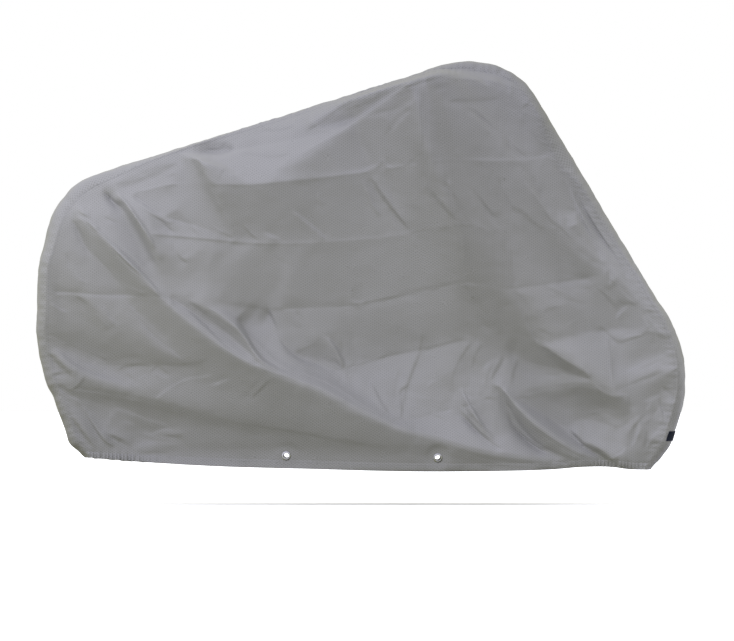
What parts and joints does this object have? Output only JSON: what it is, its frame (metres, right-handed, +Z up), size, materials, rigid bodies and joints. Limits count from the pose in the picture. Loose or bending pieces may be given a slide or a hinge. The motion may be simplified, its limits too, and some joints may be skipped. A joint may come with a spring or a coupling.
{
  "type": "fitted bicycle cover",
  "caption": "Grey fitted cloth cover for a bicycle, draped as over one: side panels sewn to a centre gusset, gathered hem with metal eyelets, open below and hollow.",
  "frame": {"origin": "the outer face of the cover at its highest point, over the handlebar, in the middle plane", "axes": "+X to the front along the cover's length, +Y to the left across it, +Z up"},
  "size_m": [1.8015, 0.6227, 1.1372],
  "materials": {
    "cloth": "coated woven polyester, slightly satin",
    "eyelet": "bright nickel",
    "label": "woven, matt"
  },
  "bodies": {
    "root": {"right_panel": "cloth", "left_panel": "cloth", "centre_gusset": "cloth", "right_hem_band": "cloth", "left_hem_band": "cloth", "right_rear_eyelet": "eyelet", "right_front_eyelet": "eyelet", "left_rear_eyelet": "eyelet", "left_front_eyelet": "eyelet", "label": "label"}
  },
  "joints": []
}
